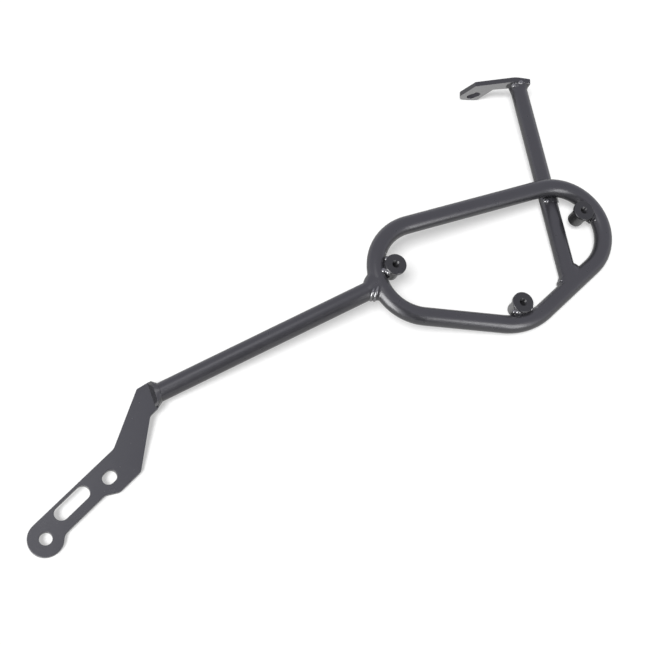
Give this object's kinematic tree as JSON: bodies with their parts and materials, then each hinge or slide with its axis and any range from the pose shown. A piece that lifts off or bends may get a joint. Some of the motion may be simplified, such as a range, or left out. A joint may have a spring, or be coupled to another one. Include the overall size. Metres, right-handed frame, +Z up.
{
  "type": "pannier frame",
  "caption": "Left-hand motorbike pannier frame: a closed loop of bent tube with turned bag bosses, a lower arm to a slotted flat mounting plate and an upper stay to a slotted bracket.",
  "frame": {"origin": "centre of the footprint on the ground, at ground level, with the frame lying on its inner side as it comes to rest", "axes": "+X to the rear of the motorbike, along the lower run of the loop as seen from above; +Y towards the top of the motorbike; +Z up from the ground, out to the bag"},
  "size_m": [0.5013, 0.4771, 0.058],
  "materials": {
    "black_powder_coat": "satin black powder coat"
  },
  "bodies": {
    "root": {"loop_tube": "black_powder_coat", "lower_arm_tube": "black_powder_coat", "lower_mount_plate": "black_powder_coat", "upper_stay_tube": "black_powder_coat", "upper_mount_bracket": "black_powder_coat", "weld_arm_loop": "black_powder_coat", "weld_arm_plate": "black_powder_coat", "weld_stay_rear_run": "black_powder_coat", "weld_stay_upper_run": "black_powder_coat", "weld_stay_bracket": "black_powder_coat", "bag_boss_front": "black_powder_coat", "weld_boss_front": "black_powder_coat", "bag_boss_lower": "black_powder_coat", "weld_boss_lower": "black_powder_coat", "bag_boss_rear": "black_powder_coat", "weld_boss_rear": "black_powder_coat"}
  },
  "joints": []
}
